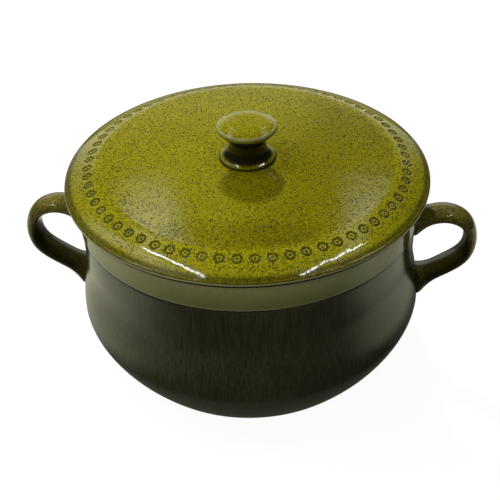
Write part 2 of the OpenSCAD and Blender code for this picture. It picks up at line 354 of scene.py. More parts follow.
def stamp_tree():
    """Presses a ring of round rosettes into the upper side of the lid."""
    tree, g, given = geometry_tree(
        "Stamped ring", Stamps='NodeSocketInt', Ring_Radius='NodeSocketFloat',
        Slope='NodeSocketFloat', Stamp_Radius='NodeSocketFloat', Depth='NodeSocketFloat',
        Petals='NodeSocketInt', Unevenness='NodeSocketFloat', Seed='NodeSocketInt',
        Material='NodeSocketMaterial')
    place = g.parts(g.add("GeometryNodeInputPosition").outputs[0])
    x, y = place["X"], place["Y"]
    normal = g.add("GeometryNodeInputNormal").outputs[0]
    sector = g.math('DIVIDE', math.tau, given["Stamps"])
    turn = g.math('DIVIDE', g.math('ARCTAN2', y, x), sector)
    which = g.math('ROUND', turn)
    stray = g.add("FunctionNodeRandomValue", data_type='FLOAT_VECTOR')
    stray.inputs["Min"].default_value = (-1, -1, -1)
    g.tree.links.new(which, stray.inputs["ID"])
    g.tree.links.new(given["Seed"], stray.inputs["Seed"])
    strays = g.parts(stray.outputs[0])
    along = g.product(g.math('SUBTRACT', turn, which),
                   g.product(sector, given["Ring Radius"]))
    along = g.math('MULTIPLY_ADD', strays["X"], given["Unevenness"], along)
    across = g.math('DIVIDE', g.math('SUBTRACT', g.hypot(x, y), given["Ring Radius"]),
                    g.math('COSINE', given["Slope"]))
    across = g.math('MULTIPLY_ADD', strays["Y"], given["Unevenness"], across)
    round_about = g.math('MULTIPLY_ADD', strays["Z"], math.pi, g.math('ARCTAN2', across, along))
    petal = g.math('MULTIPLY_ADD', g.math('COSINE', g.product(round_about, given["Petals"])),
                   PETAL_SHARE, 1.0)
    share = g.math('DIVIDE', g.hypot(along, across), g.product(petal, given["Stamp Radius"]))
    punch = g.add("ShaderNodeFloatCurve", {"Value": g.math('MINIMUM', share, 1.0)})
    draw_curve(punch.mapping, PUNCH)
    above = g.mark(g.parts(normal)["Z"], UPWARD)
    pressed = g.product(punch.outputs[0], above)
    depth = g.product(given["Depth"], g.math('MULTIPLY_ADD', strays["Z"], DEPTH_SPREAD, DEPTH_MEAN))
    inward = g.add("ShaderNodeVectorMath", {0: normal}, operation='SCALE')
    g.tree.links.new(g.product(pressed, depth, -1.0), inward.inputs["Scale"])
    kept = g.add("GeometryNodeStoreNamedAttribute",
                 {"Geometry": given["Geometry"], "Name": "pressed", "Value": pressed},
                 data_type='FLOAT', domain='POINT').outputs[0]
    stamped = g.add("GeometryNodeSetPosition", {"Geometry": kept, "Offset": inward.outputs[0]}).outputs[0]
    close_tree(g, stamped, given["Material"])
    return tree


def draw_curve(mapping, points):
    """Gives a curve node its points."""
    curve = mapping.curves[0]
    for share, value in points[1:-1]:
        curve.points.new(share, value)
    curve.points[0].location = points[0]
    curve.points[len(points) - 1].location = points[-1]
    mapping.update()


# ---- Outlines, the same forms as the construction -----------------------------

BELLY_POWER = 1.5
ROLL_POWER = 1.35
# How much closer together the belly's points lie near its foot
FOOT_CROWDING = 1.8
# The groove's section: share of its depth, and share of half its width from its middle
GROOVE = ((0.1, -0.80), (0.55, -0.35), (1.0, 0.0), (0.5, 0.35))
# Rounding of the band's lower edge, as a share of half the groove's width
BEAD_SHARE = 0.75
BEAD_ARC = (-70, 0, 5)
# Radii of the rings that divide the flat undersides and floors
FLAT_RINGS = (0.03, 0.06)


def wave(start, end, share):
    """A half wave from one value to another."""
    return start + (end - start) * (1 - math.cos(math.pi * share)) / 2


def belly(z, foot, widest, waist):
    """Radius at height z of a belly between its foot, widest ring and waist, each (radius, height)."""
    if z < widest[1]:
        fall = ((widest[1] - z) / (widest[1] - foot[1])) ** BELLY_POWER
        return widest[0] - (widest[0] - foot[0]) * fall
    return wave(widest[0], waist[0], min(1.0, (z - widest[1]) / (waist[1] - widest[1])))


def belly_points(foot, widest, waist, top, lower=40, upper=40, straight=10):
    """Points up a belly's outline to the height of its top, closer together near its foot."""
    heights = [foot[1] + (widest[1] - foot[1]) * (i / lower) ** FOOT_CROWDING for i in range(lower)]
    heights += [widest[1] + (waist[1] - widest[1]) * i / upper for i in range(upper)]
    heights += [waist[1] + (top - waist[1]) * i / straight for i in range(straight + 1)]
    return [(belly(z, foot, widest, waist), z) for z in heights]


def arc(centre, radius, start, end, steps=8):
    """Points on an arc in the outline's plane, angles in degrees."""
    angles = [math.radians(start + (end - start) * i / steps) for i in range(steps + 1)]
    return [(centre[0] + radius * math.cos(a), centre[1] + radius * math.sin(a)) for a in angles]


def line(start, end, steps):
    """Points from start up to but not including end."""
    return [(start[0] + (end[0] - start[0]) * i / steps, start[1] + (end[1] - start[1]) * i / steps)
            for i in range(steps)]


def outer_belly(pot):
    """The foot, widest ring and waist of the pot's outside."""
    return ((pot.foot_radius, 0.0), (pot.belly_radius, pot.belly_height),
            (pot.waist_radius, pot.waist_height))


FOOT_CHAMFER = 0.0004
FOOT_LIFT = 0.0003
FOOT_CORNER = 0.0005


def pot_outline(pot):
    """The pot's outline from the middle of its underside, round the outside, to the middle of its floor."""
    rim = POT_HIGH.z
    mouth = pot.band_radius - pot.band_thickness
    half_groove = pot.groove_width / 2
    inside_foot = (pot.floor_radius, pot.foot_recess + pot.floor)
    foot_inside = pot.foot_radius - pot.foot_width
    under = [(r, pot.foot_recess) for r in (0.0, *FLAT_RINGS, foot_inside - pot.foot_recess)]
    under += [(foot_inside - FOOT_CHAMFER, FOOT_LIFT), (foot_inside, 0.0),
              (pot.foot_radius - pot.foot_width / 2, 0.0), (pot.foot_radius - FOOT_CORNER, 0.0)]
    outside = belly_points(*outer_belly(pot), pot.groove_height - half_groove)
    groove = [(pot.waist_radius - pot.groove_depth * deep, pot.groove_height + half_groove * up)
              for deep, up in GROOVE]
    bead = half_groove * BEAD_SHARE
    band_bottom = pot.groove_height + pot.groove_width
    edge = arc((pot.band_radius - bead, band_bottom - bead), bead, *BEAD_ARC)
    band = line((pot.band_radius, band_bottom), (pot.band_radius, rim - pot.rim_rounding), 6)
    lip = arc((pot.band_radius - pot.rim_rounding, rim - pot.rim_rounding), pot.rim_rounding, 0, 90)
    lip += arc((mouth + pot.rim_rounding, rim - pot.rim_rounding), pot.rim_rounding, 90, 180)
    inside = belly_points(inside_foot, (pot.belly_radius - pot.wall, pot.belly_height),
                          (mouth, pot.waist_height), pot.groove_height)[::-1]
    floor = [(r, inside_foot[1]) for r in (*FLAT_RINGS[::-1], 0.0)]
    return under + outside[1:] + groove + edge + band + lip + inside + floor


# The knob's section: height of its neck as a share of the way from the base to
# the disc, how late the flare opens, how flat the disc's middle is, and the
# start, end and steps of the roundings of the base and the disc, in degrees
NECK_SHARE = 0.4
FLARE_POWER = 1.6
DISC_POWER = 6
BASE_ARC = (-90, 60, 10)
DISC_ARC = (-60, 70, 14)
DISC_RINGS = 20


def knob_outline(knob, steps=22):
    """The knob's outline from the middle of its foot to the middle of its top."""
    height = knob.top - knob.bottom
    disc = height - knob.rise - knob.edge_thickness
    neck = knob.base_thickness + (disc - knob.base_thickness) * NECK_SHARE
    half_base = knob.base_thickness / 2
    half_edge = knob.edge_thickness / 2
    base = knob.base_radius - half_base
    flat = knob.radius - half_edge
    shares = [i / steps for i in range(1, steps + 1)]
    points = [(0.0, 0.0), (knob.base_radius / 2, 0.0)]
    points += arc((base, half_base), half_base, *BASE_ARC)
    points += [(wave(base, knob.neck_radius, math.sqrt(s)),
                knob.base_thickness + (neck - knob.base_thickness) * s) for s in shares]
    points += [(wave(knob.neck_radius, flat, s ** FLARE_POWER), neck + (disc - neck) * s) for s in shares]
    points += arc((flat, disc + half_edge), half_edge, *DISC_ARC)[1:]
    points += [(flat * i / DISC_RINGS, height - knob.rise * (i / DISC_RINGS) ** DISC_POWER)
               for i in range(DISC_RINGS - 1, -1, -1)]
    return [(r, z + knob.bottom) for r, z in points]


def lid_surface(lid, r):
    """Height of the lid's upper side at radius r."""
    field = lid.radius - lid.roll_width
    if r < field:
        return lid.top - lid.dome_rise * (r / field) ** 2
    fall = ((r - field) / lid.roll_width) ** ROLL_POWER
    return lid.top - lid.dome_rise - lid.roll_drop * fall


# ---- Meshes ------------------------------------------------------------------

def new_piece(name, mesh):
    """A linked object at the origin that holds the mesh."""
    piece = bpy.data.objects.new(name, mesh)
    bpy.context.scene.collection.objects.link(piece)
    return piece


def outline_piece(name, outline):
    """An object that holds an outline as a row of joined points in the XZ plane."""
    mesh = bpy.data.meshes.new(name)
    mesh.from_pydata([(r, 0.0, z) for r, z in outline],
                     [(i, i + 1) for i in range(len(outline) - 1)], [])
    return new_piece(name, mesh)


def finished(piece):
    """Closes a piece's seams, turns its faces outward and shades it smooth."""
    work = bmesh.new()
    work.from_mesh(piece.data)
    bmesh.ops.remove_doubles(work, verts=work.verts, dist=SEAM)
    bmesh.ops.recalc_face_normals(work, faces=work.faces)
    work.to_mesh(piece.data)
    work.free()
    piece.data.polygons.foreach_set("use_smooth", [True] * len(piece.data.polygons))
    piece.data.update()
    return piece


def shared_tree(name, make):
    """A geometry tree that several pieces use, made once."""
    return bpy.data.node_groups.get(name) or make()


def turned_piece(name, outline, segments, material):
    """A finished piece turned from its outline."""
    tree = shared_tree("Turned form", turned_tree)
    return finished(grown(outline_piece(name, outline), tree, Segments=segments, Material=material))


def dressed(piece, body, slot, *nodes):
    """Stands a finished piece in for its CAD nodes on its body."""
    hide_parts(*nodes)
    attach(piece, body)
    return piece


def stitched(work, inner, outer):
    """Joins two rings of vertices, the finer a whole number of times as fine as the other."""
    if len(inner) > len(outer):
        inner, outer = outer, inner
    ratio = len(outer) // len(inner)
    for i, corner in enumerate(inner):
        after = inner[(i + 1) % len(inner)]
        fine = [outer[(i * ratio + k) % len(outer)] for k in range(ratio + 1)]
        if len(inner) == 1:
            for k in range(ratio):
                work.faces.new((corner, fine[k], fine[k + 1]))
            continue
        if ratio == 1:
            work.faces.new((corner, fine[0], fine[1], after))
            continue
        half = ratio // 2
        for k in range(ratio):
            work.faces.new((corner if k < half else after, fine[k], fine[k + 1]))
        work.faces.new((corner, fine[half], after))


def ringed_mesh(name, rows):
    """A turned mesh from rows of (radius, height, number of points)."""
    work = bmesh.new()
    rings = []
    for radius, height, points in rows:
        angles = [math.tau * i / points for i in range(points)]
        rings.append([work.verts.new((radius * math.cos(a), radius * math.sin(a), height))
                      for a in angles])
    for inner, outer in zip(rings, rings[1:]):
        stitched(work, inner, outer)
    bmesh.ops.recalc_face_normals(work, faces=work.faces)
    mesh = bpy.data.meshes.new(name)
    work.to_mesh(mesh)
    work.free()
    return mesh


# Points round the lid, per stamp: few at its middle, most under the stamps
COARSE_PER_STAMP = 4
FINE_PER_STAMP = 32
STAMPS_PER_CORE_POINT = 5
# Radii within which the rows have one point, a few, and one per stamp
CENTRE, CORE, HUB = 0.001, 0.008, 0.030
# Rows in the field, in the shoulder up to the stamps, under them, and in the roll
FIELD_ROWS, SHOULDER_ROWS, STAMP_ROWS, ROLL_ROWS = 30, 4, 24, 14
UNDER_ROWS = 14
STAMP_MARGIN = 0.0006
LIP_ARC = (58, -90, 16)
# Where the roll runs into the lip, as a share of the lip's rounding past its centre
LIP_START = 0.45
SEAT_CORNER = 0.0006
FLANGE_STEP = 0.0005
COVE = 0.003


def lid_rows(lid, pot, stamps):
    """Rows of the lid: coarse at its centre, finest under the stamps."""
    coarse, fine = stamps.stamps * COARSE_PER_STAMP, stamps.stamps * FINE_PER_STAMP
    field = lid.radius - lid.roll_width
    ring = lid.radius - stamps.inset
    rim = POT_HIGH.z
    seat = pot.band_radius - pot.rim_rounding
    flange = pot.band_radius - pot.band_thickness - lid.flange_gap
    half_flange = lid.flange_thickness / 2
    flange_end = lid.flange_bottom + half_flange
    under = lid.top - lid.thickness
    lip = (lid.radius - lid.lip_rounding, rim + lid.lip_gap + lid.lip_rounding)
    half = stamps.radius + STAMP_MARGIN
    roll_end = lip[0] + lid.lip_rounding * LIP_START
    inner = flange - lid.flange_thickness

    def tier(r):
        """Points round a row outside the ring of stamps."""
        if r < CENTRE:
            return 1
        if r < CORE:
            return stamps.stamps // STAMPS_PER_CORE_POINT
        return stamps.stamps if r < HUB else coarse

    def spread(start, end, rows, skipped=0):
        """Radii from start to end, without the first few."""
        return [start + (end - start) * i / rows for i in range(skipped, rows + 1)]

    top = spread(0.0, field, FIELD_ROWS)
    top += spread(field, ring - half, SHOULDER_ROWS, 1)[:-1]
    rows = [(r, lid_surface(lid, r), tier(r)) for r in top]
    rows += [(r, lid_surface(lid, r), fine) for r in spread(ring - half, ring + half, STAMP_ROWS)]
    rows += [(r, lid_surface(lid, r), coarse) for r in spread(ring + half, roll_end, ROLL_ROWS, 1)]
    below = arc(lip, lid.lip_rounding, *LIP_ARC)
    below += [(pot.band_radius + lid.lip_gap, rim + lid.lip_gap), (seat + lid.lip_gap, rim),
              ((seat + flange) / 2, rim), (flange + SEAT_CORNER, rim), (flange, rim - SEAT_CORNER)]
    below += line((flange, rim - 2 * SEAT_CORNER), (flange, flange_end), 4)
    below += arc((flange - half_flange, flange_end), half_flange, 0, -180, 16)
    below += line((inner, flange_end + FLANGE_STEP), (inner, under - COVE), 4)
    below += arc((inner - COVE, under - COVE), COVE, 0, 90)
    below += [(r, under) for r in spread(0.0, inner, UNDER_ROWS)[-2::-1]]
    rows += [(r, z, tier(r)) for r, z in below]
    return rows


# The strap's middle line, as shares of its reach outwards and of its height
# downwards, from inside the wall at one root to inside the wall at the other
LOOP = ((-0.73, 0.16), (-0.27, 0.07), (0.05, -0.03), (0.42, -0.11), (0.79, -0.02), (0.95, 0.13),
        (1.00, 0.35), (0.91, 0.60), (0.52, 0.79), (0.14, 0.96), (-0.24, 1.13), (-0.67, 1.31))
LOOP_STEPS = 12
ROOT_DEPTH = 0.002


def spline(a, b, c, d, t):
    """A uniform cubic B-spline between four points."""
    return (a * (1 - t) ** 3 + b * (3 * t ** 3 - 6 * t ** 2 + 4)
            + c * (3 * t ** 2 - 3 * t ** 3 + 3 * t + 1) + d * t ** 3) / 6


def strap_piece(name, side, pot, handle):
    """The strap's path on one side, with the girth that each of its points needs."""
    start = pot.groove_height - handle.drop
    marks = [Vector((pot.belly_radius + out * handle.reach, 0.0, start - down * handle.height))
             for out, down in LOOP]
    path = [spline(*marks[i:i + 4], k / LOOP_STEPS)
            for i in range(len(marks) - 3) for k in range(LOOP_STEPS)]
    flare = handle.root_width / handle.width - 1
    from_wall = [max(0.0, p.x - belly(p.z, *outer_belly(pot))) for p in path]
    girth = [1 + flare * max(0.0, 1 - d / handle.root_length) ** 2 for d in from_wall]
    mesh = bpy.data.meshes.new(name)
    mesh.from_pydata([(side * p.x, p.y, p.z) for p in path],
                     [(i, i + 1) for i in range(len(path) - 1)], [])
    mesh.attributes.new("girth", 'FLOAT', 'POINT').data.foreach_set("value", girth)
    return new_piece(name, mesh)


def seated(piece, pot):
    """Ends a strap just inside the wall that it is joined to."""
    for vertex in piece.data.vertices:
        out = math.hypot(vertex.co.x, vertex.co.y)
        least = belly(vertex.co.z, *outer_belly(pot)) - ROOT_DEPTH
        if out < least:
            vertex.co.x *= least / out
            vertex.co.y *= least / out
    return piece


# ---- Glazes --------------------------------------------------------------------

def fresh_graph(owner):
    """The empty shader graph of a material or a world."""
    owner.use_nodes = True
    owner.node_tree.nodes.clear()
    return Graph(owner.node_tree)


def noise(g, place, scale, detail=2.0, roughness=0.5):
    """Cloudy noise, 0 to 1."""
    return g.add("ShaderNodeTexNoise", {"Vector": place, "Scale": scale, "Detail": detail,
                                        "Roughness": roughness}).outputs["Fac"]


def stretched(g, place, share):
    """Coordinates in which a pattern runs upright."""
    return g.add("ShaderNodeMapping", {"Vector": place, "Scale": (1.0, 1.0, share)}).outputs[0]


def scaled(tone, share):
    """A colour made darker or lighter."""
    return [c * share for c in tone]


# How rare large specks are, and how soft their edge is
SPECK_POWER = 1.5
SPECK_EDGE = (-0.03, 0.07)


def specks(g, place, scale, size):
    """Round specks of uneven size: 1 inside a speck and 0 outside."""
    cells = g.add("ShaderNodeTexVoronoi", {"Vector": place, "Scale": scale})
    lot = g.add("ShaderNodeSeparateColor", {"Color": cells.outputs["Color"]}).outputs[0]
    reach = g.product(g.math('POWER', lot, SPECK_POWER), size)
    return g.mark(g.math('SUBTRACT', reach, cells.outputs["Distance"]), SPECK_EDGE)


# Where clouds, runs and grain begin and are full, on their own noise
CLOUDS = (0.32, 0.68)
RUNS = (0.3, 0.7)
RUN_SCALE, RUN_STRETCH = 330.0, 0.05
GRAIN = (0.38, 0.60)
GRAIN_SCALE = 900.0
GRAIN_DARK, GRAIN_PALE = 0.50, 1.15
# Share of the grain in the colour, with runs and without
GRAIN_IN_RUNS, GRAIN_ALONE = 0.35, 0.75
# Scale and size of the two sorts of speck
FINE_SPECKS = (880.0, 0.52)
COARSE_SPECKS = (460.0, 0.33)
# Relief of the glaze: its slow swell, the pits of its specks and its grain
SWELL_SCALE, SWELL = 95.0, 1.6
SPECK_PIT, GRAIN_RELIEF = -0.25, 0.15
BUMP = {"Strength": 0.35, "Distance": 0.00012}
SPECK_ROUGHNESS, CLOUD_ROUGHNESS = 0.10, 0.03
# Clay between the grog, and where the grog begins and is full
CLAY_DARK = 0.8
GROG = (0.35, 0.7)


class Glaze(Graph):
    """A speckled glaze over stoneware, to which each piece adds its own marks."""

    def __init__(self, name, light, deep, colours, cloud, speck_share, roughness, streaks=0.0):
        self.material = bpy.data.materials.new(name)
        super().__init__(fresh_graph(self.material).tree)
        self.colours = colours
        self.shader = self.add("ShaderNodeBsdfPrincipled")
        self.add("ShaderNodeOutputMaterial", {"Surface": self.shader.outputs[0]})
        place = self.place = self.add("ShaderNodeTexCoord").outputs["Object"]
        clouds = self.mark(noise(self, place, cloud, detail=3.0, roughness=0.55), CLOUDS)
        self.tone = self.blend(clouds, deep, light)
        runs = place
        if streaks:
            runs = stretched(self, place, RUN_STRETCH)
            run = noise(self, runs, RUN_SCALE, detail=3.0, roughness=0.6)
            self.lay(self.mark(run, RUNS), deep, streaks)
        grain = noise(self, runs, GRAIN_SCALE, detail=3.0, roughness=0.7)
        grained = self.blend(self.mark(grain, GRAIN), scaled(deep, GRAIN_DARK), scaled(light, GRAIN_PALE))
        self.lay(GRAIN_IN_RUNS if streaks else GRAIN_ALONE, grained)
        spots = self.math('MAXIMUM', specks(self, place, *FINE_SPECKS), specks(self, place, *COARSE_SPECKS))
        spots = self.product(spots, speck_share)
        self.lay(spots, colours.speck)
        relief = self.math('MULTIPLY_ADD', spots, SPECK_PIT, self.product(grain, GRAIN_RELIEF))
        height = self.math('MULTIPLY_ADD', noise(self, place, SWELL_SCALE, detail=1.0), SWELL, relief)
        bump = self.add("ShaderNodeBump", {"Height": height, **BUMP})
        self.tree.links.new(bump.outputs[0], self.shader.inputs["Normal"])
        cloudy = self.math('MULTIPLY_ADD', clouds, CLOUD_ROUGHNESS, roughness)
        self.rough = self.math('MULTIPLY_ADD', spots, SPECK_ROUGHNESS, cloudy)

    def lay(self, share, colour, amount=1.0, kind='MIX'):
        """Lays a colour, in some amount, over a share of the surface."""
        share = share if amount == 1.0 else self.product(share, amount)
        self.tone = self.blend(share, self.tone, colour, kind)

    def pool(self, share, amount=1.0, depth=1.0):
        """Lays the dark colour of pooled glaze, darker by a depth, over a share of the surface; also used
        to paint shade.
        """
        self.lay(share, scaled(self.colours.pooled_and_shade, depth), amount)

    def bare(self, share, roughness):
        """Leaves a share of the surface as bare clay with fine grog."""
        grog = self.mark(noise(self, self.place, GRAIN_SCALE, detail=3.0), GROG)
        self.lay(share, self.blend(grog, scaled(self.colours.clay, CLAY_DARK), self.colours.clay))
        self.rough = self.math('MULTIPLY_ADD', share, roughness, self.rough)

    def fired(self):
        """Gives the shader its colour and roughness, and hands over the material."""
        self.tree.links.new(self.tone, self.shader.inputs["Base Color"])
        self.tree.links.new(self.rough, self.shader.inputs["Roughness"])
        return self.material


# Marks: each pair says where a mark begins and where it is full, in metres.
# On the lid, the side of the field darkened with painted shade, and how it leans
SHADED_SIDE, SIDE_LEAN = (-0.01, 0.05), -0.25
FIELD_END = (0.099, 0.091)
# Painted shade on a strip between the knob and the ring, at the front
STRIP_SIDES, STRIP_FRONT, STRIP_END = (0.060, 0.035), (-0.064, -0.078), (0.099, 0.095)
FRONT_SHADE_TINT = (0.80, 0.79, 0.50)
# Painted light on the roll at the front
ROLL_START, ROLL_FRONT = (0.096, 0.100), (-0.04, -0.09)
FRONT_ROLL_LIGHT = (1.30, 1.30, 1.10)
# Darkening: in the stamps by their depth, partly pooled glaze and partly painted shade; a darker ring at
# the knob's foot; and painted shade on the roll before the lip
IN_STAMPS, ROLL_END_SHADE = (0.10, 0.75), (-0.0055, -0.003)
TOP_BAND, KNOB_FOOT = (-0.004, -0.002), (0.0016, 0.0003)
# The lip, the painted shade under it, the pale line above it (partly thin glaze, partly a painted
# highlight) and the bare seat
LIP_EDGE, UNDER_LIP_SHADE, ABOVE_LIP, THIN_LINE = (-0.0020, -0.0012), (0.0003, 0.0), (0.0, 0.0003), (0.0012, 0.0008)
SEAT_TOP, SEAT_START = (0.0002, 0.0001), (0.0, 0.0005)


def lid_glaze(colours, lid, knob, pot):
    """Glossy olive glaze: dark in the stamps, partly pooled and partly painted shade, and round the knob;
    thin on the edge, partly a painted highlight; bare on the seat; painted shade on one side of the field,
    at its front, before the lip and under it, and painted light on the front roll.
    """
    g = Glaze("lid_glaze", colours.lid, colours.lid_deep, colours,
              cloud=30.0, speck_share=0.95, roughness=0.03)
    x, y, z = g.parts(g.place)
    radius = g.hypot(x, y)
    rim = POT_HIGH.z
    lip = rim + lid.lip_gap + lid.lip_rounding
    flange = pot.band_radius - pot.band_thickness - lid.flange_gap
    # Painted shade: one side of the field multiplied by the lid's shade tint
    side = g.math('MULTIPLY_ADD', y, SIDE_LEAN, x)
    g.lay(g.product(g.mark(side, SHADED_SIDE), g.mark(radius, FIELD_END)), colours.lid_shade, kind='MULTIPLY')
    # Painted shade on the front of the field, inside the ring
    strip = g.product(g.mark(g.math('ABSOLUTE', x), STRIP_SIDES), g.mark(y, STRIP_FRONT),
                      g.mark(radius, STRIP_END))
    g.lay(strip, FRONT_SHADE_TINT, kind='MULTIPLY')
    # Painted light on the front of the roll
    g.lay(g.product(g.mark(radius, ROLL_START), g.mark(y, ROLL_FRONT)), FRONT_ROLL_LIGHT, kind='MULTIPLY')
    pressed = g.add("ShaderNodeAttribute", attribute_name="pressed").outputs["Fac"]
    # Stamps darkened by their depth: partly pooled glaze, partly painted shade
    g.pool(g.mark(pressed, IN_STAMPS), amount=0.66)
    # A darker ring round the knob's foot
    g.pool(g.product(g.mark(z, TOP_BAND, lid.top), g.mark(radius, KNOB_FOOT, knob.base_radius)), amount=0.9)
    # Painted shade on the roll just before the lip
    g.pool(g.mark(radius, ROLL_END_SHADE, lid.radius), amount=0.68)
    on_lip = g.mark(radius, LIP_EDGE, lid.radius)
    # Painted shade on the lip's underside
    g.pool(g.product(on_lip, g.mark(z, UNDER_LIP_SHADE, lip)), depth=0.3)
    # Pale line on the lip: partly glaze breaking thin, partly a painted highlight
    g.lay(g.product(on_lip, g.mark(z, ABOVE_LIP, lip), g.mark(z, THIN_LINE, lip)), colours.edge)
    g.bare(g.product(g.mark(z, SEAT_TOP, rim), g.mark(radius, SEAT_START, flange)), roughness=0.7)
    return g.fired()


# On the pot: the fade of the band's painted light, upright streaks, the back where that painted light gives
# way to the pot's glaze, and the bead's edge
BAND_TOP = -0.004
STREAKS, STREAK_SCALE, STREAK_STRETCH = (0.35, 0.65), 700.0, 0.25
BAND_BACK = (-0.03, 0.08)
BAND_GRAIN, BAND_BACK_FADE, BAND_GLOSS = 0.35, 0.70, -0.12
BEAD_EDGE = (-0.0003, 0.0)
# Painted shade on the wall round the handle roots, where the handles shade it and are mirrored dark; the
# bead's thin line and the groove's dark line
ROOT_SIDES, ROOT_FOOT = (0.034, 0.016), (0.046, 0.060)
BEAD_LINE, BEAD_LINE_RISE = (0.0007, 0.0003), 0.0004
GROOVE_LINE, GROOVE_LINE_DROP = (0.0009, 0.0005), 0.0001
# The glaze's ragged end above the foot, and the bare seat on the rim
FOOT_END, FOOT_RAGGED, FOOT_RAG_SCALE, FOOT_BARE = 0.0004, 0.0008, 60.0, (0.0002, 0.0)
RIM_SEAT = (-0.0004, -0.0002)


def pot_glaze(colours, pot):
    """Satin grey-olive glaze with faint runs, thin on the band's edge, bare on the foot and the rim;
    painted light on the rim band and painted shade round the handle roots.
    """
    g = Glaze("pot_glaze", colours.pot, colours.pot_deep, colours,
              cloud=26.0, speck_share=0.25, roughness=0.18, streaks=0.45)
    _, y, z = g.parts(g.place)
    bead = pot.groove_height + pot.groove_width * 0.5
    on_band = g.mark(z, BEAD_EDGE, bead)
    # Painted light: the band far paler than the pot's glaze, darker towards the bottom
    painted_band_light = g.blend(g.step(z, bead, POT_HIGH.z + BAND_TOP), colours.band_lower_light, colours.band)
    streaked = stretched(g, g.place, STREAK_STRETCH)
    grain = noise(g, streaked, STREAK_SCALE, detail=3.0, roughness=0.65)
    painted_band_light = g.blend(g.product(g.mark(grain, STREAKS), BAND_GRAIN), painted_band_light, colours.band_lower_light)
    # The band's painted light gives way to the pot's glaze at the back
    painted_band_light = g.blend(g.product(g.mark(y, BAND_BACK), BAND_BACK_FADE), painted_band_light, colours.pot)
    g.lay(on_band, painted_band_light)
    # Painted shade on the wall round the handle roots
    g.pool(g.product(g.mark(g.math('ABSOLUTE', y), ROOT_SIDES), g.mark(z, ROOT_FOOT)), amount=0.85)

    def line_at(height, pair):
        """1 close to a height and 0 away from it."""
        return g.mark(g.math('ABSOLUTE', g.math('SUBTRACT', z, height)), pair)

    g.lay(line_at(bead + BEAD_LINE_RISE, BEAD_LINE), colours.edge, amount=0.75)
    g.pool(line_at(pot.groove_height - GROOVE_LINE_DROP, GROOVE_LINE), depth=0.3)
    ragged = g.math('MULTIPLY_ADD', noise(g, g.place, FOOT_RAG_SCALE), FOOT_RAGGED, FOOT_END)
    foot = g.mark(g.math('SUBTRACT', z, ragged), FOOT_BARE)
    g.rough = g.math('MULTIPLY_ADD', on_band, BAND_GLOSS, g.rough)
    g.bare(g.math('MAXIMUM', foot, g.mark(z, RIM_SEAT, POT_HIGH.z)), roughness=0.65)
    return g.fired()


# On the handles: the loop's middle as a share of the reach, the painted shade inside
# the loop as a share of its size, and the painted shade on the lower half
LOOP_MIDDLE = 0.4
LOOP_INSIDE = (1.05, 0.88)
LOOP_LOW = (0.004, -0.014)
INSIDE_SHADE, LOW_SHADE = 0.85, 0.75


def handle_glaze(colours, pot, handle):
    """Glossy olive glaze that runs brown in places, with painted shade inside the loops and on their lower
    half.
    """
    g = Glaze("handle_glaze", colours.handle, colours.handle_deep, colours,
              cloud=85.0, speck_share=0.45, roughness=0.06)
    x, _, z = g.parts(g.place)
    middle_out = pot.belly_radius + handle.reach * LOOP_MIDDLE
    middle_up = pot.groove_height - handle.drop - handle.height / 2
    out = g.math('DIVIDE', g.math('SUBTRACT', g.math('ABSOLUTE', x), middle_out),
                 handle.reach * (1 - LOOP_MIDDLE))
    up = g.math('DIVIDE', g.math('SUBTRACT', z, middle_up), handle.height / 2)
    # Painted shade inside the loop and on its lower half
    inside = g.product(g.mark(g.hypot(out, up), LOOP_INSIDE), INSIDE_SHADE)
    low = g.product(g.mark(z, LOOP_LOW, middle_up), LOW_SHADE)
    g.pool(g.math('MAXIMUM', inside, low), depth=0.4)
    return g.fired()


# On the knob: its darker foot, the neck, the base's top and the disc's underside that bound the painted
# shade on the neck, and the brink
FOOT_DARK, NECK_SIDE, BASE_TOP = (0.0012, 0.0004), (0.0060, 0.0025), (0.0050, 0.0080)
UNDER_DISC, BRINK_SIDE = (0.0006, -0.0006), (-0.0019, -0.0012)
BRINK_TOP = (0.55, 0.75)


def knob_glaze(colours, knob):
    """The lid's glaze on the knob, thin on the disc's edge, darker at the foot, and with painted shade on
    the neck under the disc.
    """
    g = Glaze("knob_glaze", colours.lid, colours.lid_deep, colours,
              cloud=60.0, speck_share=0.45, roughness=0.05)
    x, y, z = g.parts(g.place)
    radius = g.hypot(x, y)
    under_disc = knob.top - knob.rise - knob.edge_thickness
    # Darker at the knob's foot
    g.pool(g.mark(z, FOOT_DARK, knob.bottom), amount=0.9)
    # Painted shade on the neck under the disc
    neck = g.math('MAXIMUM', g.mark(radius, NECK_SIDE, knob.neck_radius), g.mark(z, BASE_TOP, knob.bottom))
    g.pool(g.product(g.mark(z, UNDER_DISC, under_disc), neck), amount=0.97, depth=0.3)
    brink = g.product(g.mark(z, [knob.edge_thickness * share for share in BRINK_TOP], under_disc),
                      g.mark(radius, BRINK_SIDE, knob.radius))
    g.lay(brink, colours.edge, amount=0.55)
    return g.fired()


# ---- Operators -----------------------------------------------------------------

class CASSEROLE_OT_stage(bpy.types.Operator):
    """Set up the camera, the floor, the surroundings and the lamps"""
    bl_idname = "casserole.stage"
    bl_label = "Stage"

    def execute(self, context):
        stage = context.scene.casserole_stage
        place_camera(context.scene, stage)
        lay_floor(stage)
        paint_surroundings(context.scene)
        hang_lamps(stage)
        context.scene.view_settings.view_transform = 'Standard'
        return {'FINISHED'}


SENSOR = 36.0
LENS = 64.43
SHIFT = (-0.0656, -0.0024)


